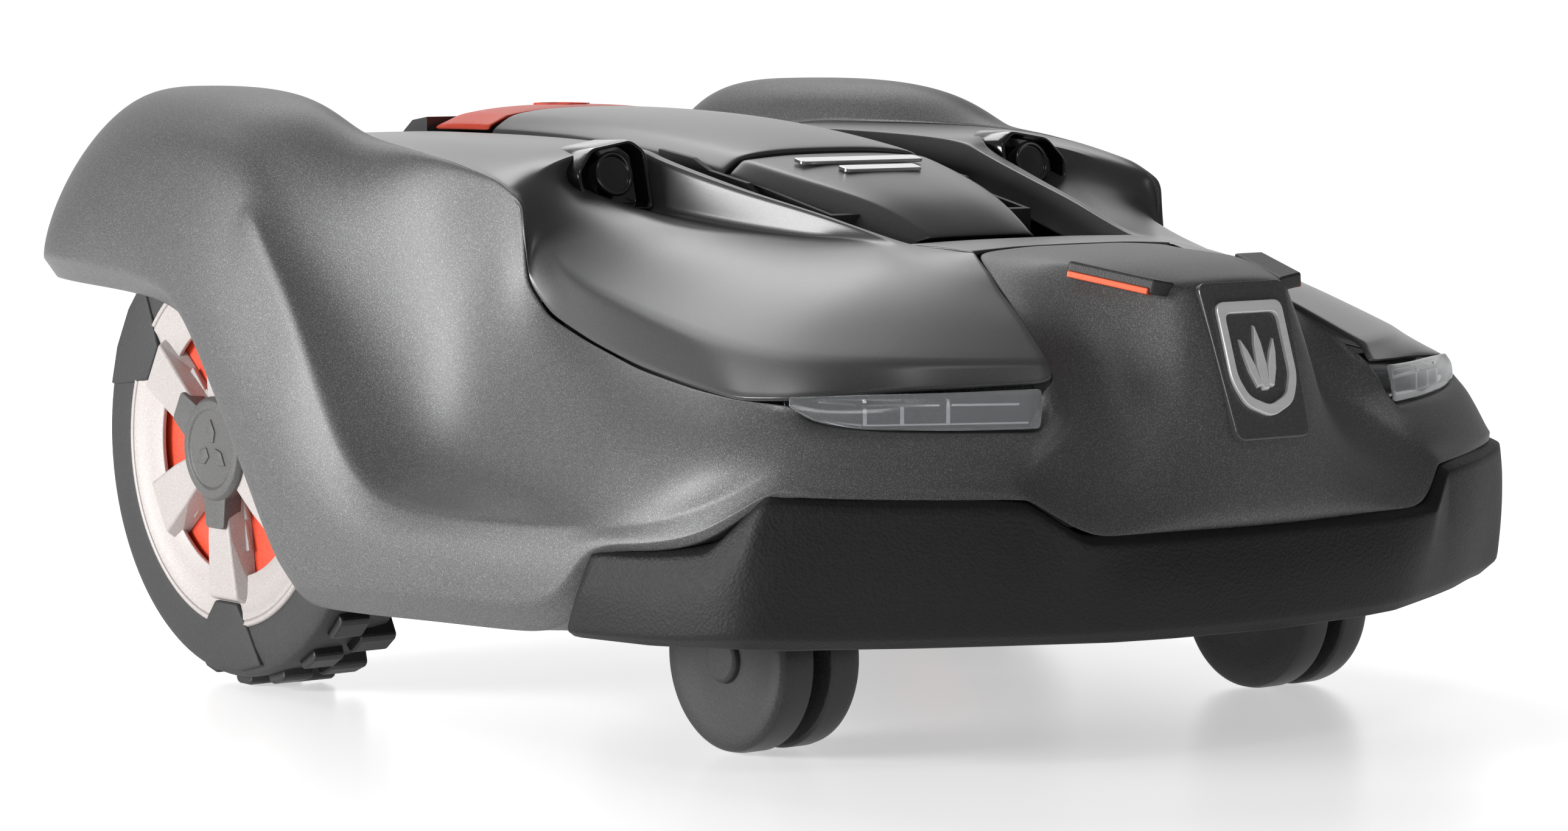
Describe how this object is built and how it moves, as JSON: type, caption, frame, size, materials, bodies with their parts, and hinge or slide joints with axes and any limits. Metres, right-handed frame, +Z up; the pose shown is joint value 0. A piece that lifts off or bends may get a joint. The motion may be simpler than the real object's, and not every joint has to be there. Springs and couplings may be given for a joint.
{
  "type": "robotic lawn mower",
  "caption": "Low four-wheeled robotic lawn mower: sculpted floating body, soft bumper, raised console with hatch and red stop button, swivelling front casters, blade disc beneath.",
  "frame": {"origin": "on the ground, under the middle of the mower's bounding box", "axes": "+Z up, -Y the way the mower drives (nose and bumper), +X to the side; the middle plane is x = 0"},
  "size_m": [0.56, 0.72, 0.31],
  "materials": {
    "body_plastic": "textured dark grey with a fine metallic speckle",
    "cover_plastic": "satin dark grey",
    "bumper_foam": "soft grained black",
    "lens": "clear",
    "sensor_black": "gloss black",
    "badge_metal": "brushed",
    "contact_copper": "bright",
    "chassis_plastic": "matte black",
    "seal_rubber": "matte",
    "battery": "shrink wrap blue",
    "screw_steel": "zinc plated",
    "motor_metal": "zinc plated",
    "board": "green solder mask",
    "key_grey": "soft grey",
    "signal_red": "orange red",
    "post_plastic": "black nylon",
    "tyre_rubber": "matte",
    "rim_silver": "warm silver paint",
    "cap_grey": "dark silver paint",
    "steel": "ground",
    "caster_grey": "textured dark grey",
    "caster_black": "smooth black",
    "disc_plastic": "black nylon"
  },
  "bodies": {
    "chassis": {"chassis_lower": "chassis_plastic", "chassis_upper": "chassis_plastic", "chassis_seal": "seal_rubber", "battery_packs": "battery", "battery_cover": "chassis_plastic", "cover_screws": "screw_steel", "wheel_motor_left": "motor_metal", "wheel_motor_right": "motor_metal", "circuit_board": "board", "control_panel": "chassis_plastic", "display_window": "sensor_black", "console_front": "cover_plastic", "console_rear": "chassis_plastic", "stop_frame": "chassis_plastic", "height_screw": "steel"},
    "posts": {"float_posts": "post_plastic"},
    "body": {"body_shell": "body_plastic", "top_cover": "cover_plastic", "front_bumper": "bumper_foam", "headlight_lens": "lens", "sensor_pod": "sensor_black", "nose_badge": "badge_metal", "charge_contacts": "contact_copper"},
    "hatch": {"hatch": "cover_plastic"},
    "stop": {"stop_button": "signal_red"},
    "carriage": {"deck_carriage": "chassis_plastic", "cutting_motor": "motor_metal"},
    "disc": {"blade_disc": "disc_plastic", "disc_shaft": "steel", "blade_screws": "screw_steel"},
    "skid": {"skid_plate": "disc_plastic"},
    "blade_1": {"blade_1": "steel"},
    "blade_2": {"blade_2": "steel"},
    "blade_3": {"blade_3": "steel"},
    "wheel_left": {"tyre_left": "tyre_rubber", "wheel_rim_left": "rim_silver", "wheel_disc_left": "signal_red", "hub_cap_left": "cap_grey", "wheel_shaft_left": "steel"},
    "fork_left": {"caster_fork_left": "chassis_plastic"},
    "caster_left": {"caster_wheel_left": "caster_grey", "caster_tyre_left": "caster_black", "caster_axle_left": "steel"},
    "wheel_right": {"tyre_right": "tyre_rubber", "wheel_rim_right": "rim_silver", "wheel_disc_right": "signal_red", "hub_cap_right": "cap_grey", "wheel_shaft_right": "steel"},
    "fork_right": {"caster_fork_right": "chassis_plastic"},
    "caster_right": {"caster_wheel_right": "caster_grey", "caster_tyre_right": "caster_black", "caster_axle_right": "steel"},
    "key_accept": {"key_accept": "key_grey"},
    "key_back": {"key_back": "key_grey"},
    "key_down": {"key_down": "key_grey"},
    "key_home": {"key_home": "key_grey"},
    "key_power": {"key_power": "key_grey"},
    "key_start": {"key_start": "key_grey"},
    "key_up": {"key_up": "key_grey"}
  },
  "joints": [
    {"name": "body_bump", "type": "slide", "parent": "chassis", "child": "posts", "axis": [0, 1, 0], "range_m": [-0.008, 0.008], "stiffness_N_per_m": 1500},
    {"name": "body_lift", "type": "slide", "parent": "posts", "child": "body", "axis": [0, 0, 1], "range_m": [0, 0.012]},
    {"name": "wheel_spin_left", "type": "hinge", "parent": "chassis", "child": "wheel_left", "pos_m": [-0.222, 0.151, 0.123], "axis": [1, 0, 0], "continuous": true},
    {"name": "caster_swivel_left", "type": "hinge", "parent": "chassis", "child": "fork_left", "pos_m": [-0.169, -0.198, 0.11], "axis": [0, 0, 1], "continuous": true},
    {"name": "caster_spin_left", "type": "hinge", "parent": "fork_left", "child": "caster_left", "pos_m": [-0.169, -0.183, 0.045], "axis": [1, 0, 0], "continuous": true},
    {"name": "wheel_spin_right", "type": "hinge", "parent": "chassis", "child": "wheel_right", "pos_m": [0.222, 0.151, 0.123], "axis": [1, 0, 0], "continuous": true},
    {"name": "caster_swivel_right", "type": "hinge", "parent": "chassis", "child": "fork_right", "pos_m": [0.169, -0.198, 0.11], "axis": [0, 0, 1], "continuous": true},
    {"name": "caster_spin_right", "type": "hinge", "parent": "fork_right", "child": "caster_right", "pos_m": [0.169, -0.183, 0.045], "axis": [1, 0, 0], "continuous": true},
    {"name": "cutting_height", "type": "slide", "parent": "chassis", "child": "carriage", "axis": [0, 0, 1], "range_m": [-0.02, 0.02]},
    {"name": "disc_spin", "type": "hinge", "parent": "carriage", "child": "disc", "pos_m": [0, 0.005, 0.043], "axis": [0, 0, 1], "continuous": true},
    {"name": "skid_spin", "type": "hinge", "parent": "disc", "child": "skid", "pos_m": [0, 0.005, 0.036], "axis": [0, 0, 1], "continuous": true},
    {"name": "blade_swing_1", "type": "hinge", "parent": "disc", "child": "blade_1", "pos_m": [0, 0.095, 0.0406], "axis": [0, 0, 1], "continuous": true},
    {"name": "blade_swing_2", "type": "hinge", "parent": "disc", "child": "blade_2", "pos_m": [-0.07794, -0.04, 0.0406], "axis": [0, 0, 1], "continuous": true},
    {"name": "blade_swing_3", "type": "hinge", "parent": "disc", "child": "blade_3", "pos_m": [0.07794, -0.04, 0.0406], "axis": [0, 0, 1], "continuous": true},
    {"name": "hatch_open", "type": "hinge", "parent": "chassis", "child": "hatch", "pos_m": [0, -0.049, 0.254], "axis": [1, 0, 0], "range_deg": [0, 65]},
    {"name": "stop_press", "type": "slide", "parent": "chassis", "child": "stop", "axis": [0, 0, 1], "range_m": [-0.005, 0], "stiffness_N_per_m": 900},
    {"name": "key_accept_press", "type": "slide", "parent": "chassis", "child": "key_accept", "axis": [0, 0, 1], "range_m": [-0.001, 0], "stiffness_N_per_m": 400},
    {"name": "key_back_press", "type": "slide", "parent": "chassis", "child": "key_back", "axis": [0, 0, 1], "range_m": [-0.001, 0], "stiffness_N_per_m": 400},
    {"name": "key_down_press", "type": "slide", "parent": "chassis", "child": "key_down", "axis": [0, 0, 1], "range_m": [-0.001, 0], "stiffness_N_per_m": 400},
    {"name": "key_home_press", "type": "slide", "parent": "chassis", "child": "key_home", "axis": [0, 0, 1], "range_m": [-0.001, 0], "stiffness_N_per_m": 400},
    {"name": "key_power_press", "type": "slide", "parent": "chassis", "child": "key_power", "axis": [0, 0, 1], "range_m": [-0.001, 0], "stiffness_N_per_m": 400},
    {"name": "key_start_press", "type": "slide", "parent": "chassis", "child": "key_start", "axis": [0, 0, 1], "range_m": [-0.001, 0], "stiffness_N_per_m": 400},
    {"name": "key_up_press", "type": "slide", "parent": "chassis", "child": "key_up", "axis": [0, 0, 1], "range_m": [-0.001, 0], "stiffness_N_per_m": 400}
  ]
}
